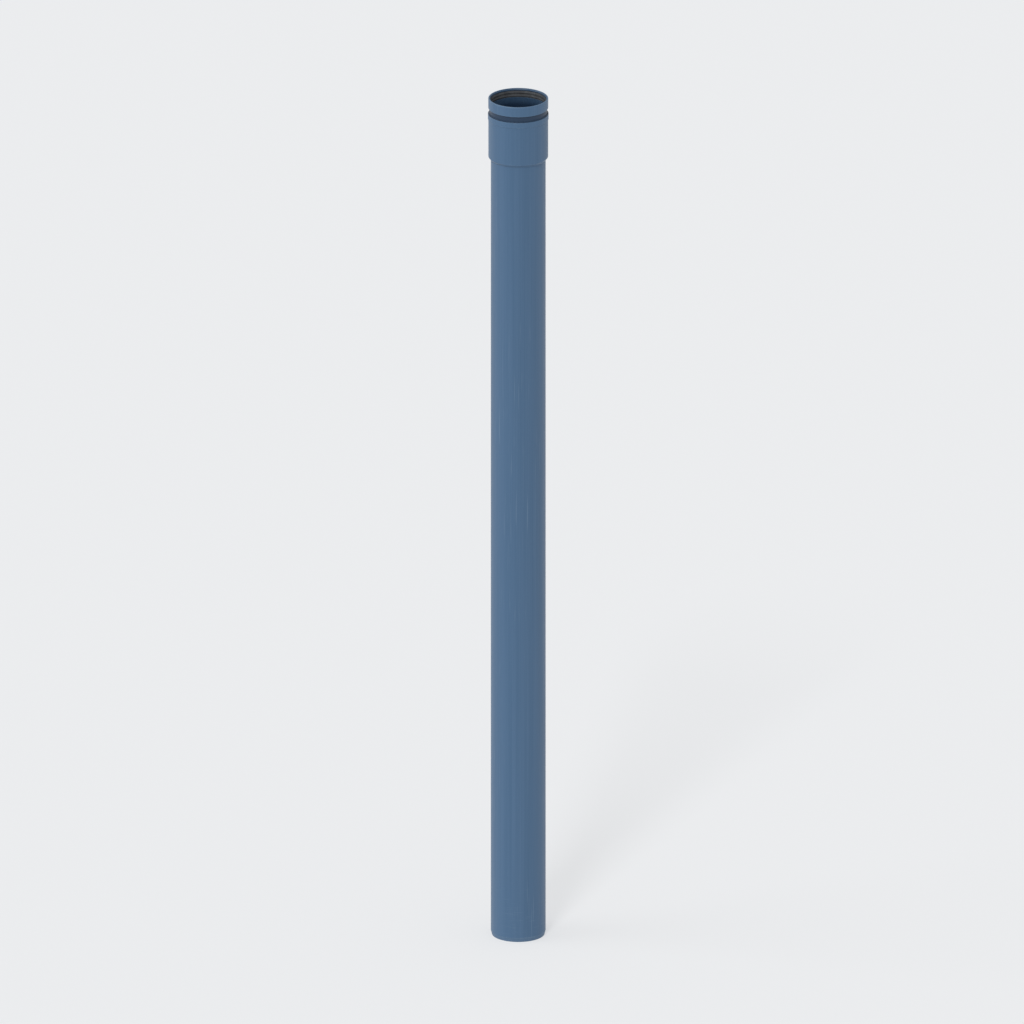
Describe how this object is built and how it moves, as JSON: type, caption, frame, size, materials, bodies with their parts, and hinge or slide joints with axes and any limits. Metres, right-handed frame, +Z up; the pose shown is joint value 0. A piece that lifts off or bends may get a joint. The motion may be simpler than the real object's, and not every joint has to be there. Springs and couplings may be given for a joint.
{
  "type": "polypropylene sewer pipe",
  "caption": "Polypropylene sewer pipe with a chamfered spigot at one end and a belled push-fit socket at the other, which holds a rubber lip seal.",
  "frame": {"origin": "centre of the spigot's end face, on the floor that the pipe stands on", "axes": "+Z up along the pipe's axis, from the spigot end to the socket's mouth; X and Y are free, because the pipe is round"},
  "size_m": [0.0554, 0.0552, 0.808],
  "materials": {
    "pipe_plastic": "matte grey-blue polypropylene, extruded",
    "seal_rubber": "black moulded rubber"
  },
  "bodies": {
    "root": {"pipe": "pipe_plastic", "seal_ring": "seal_rubber"}
  },
  "joints": []
}
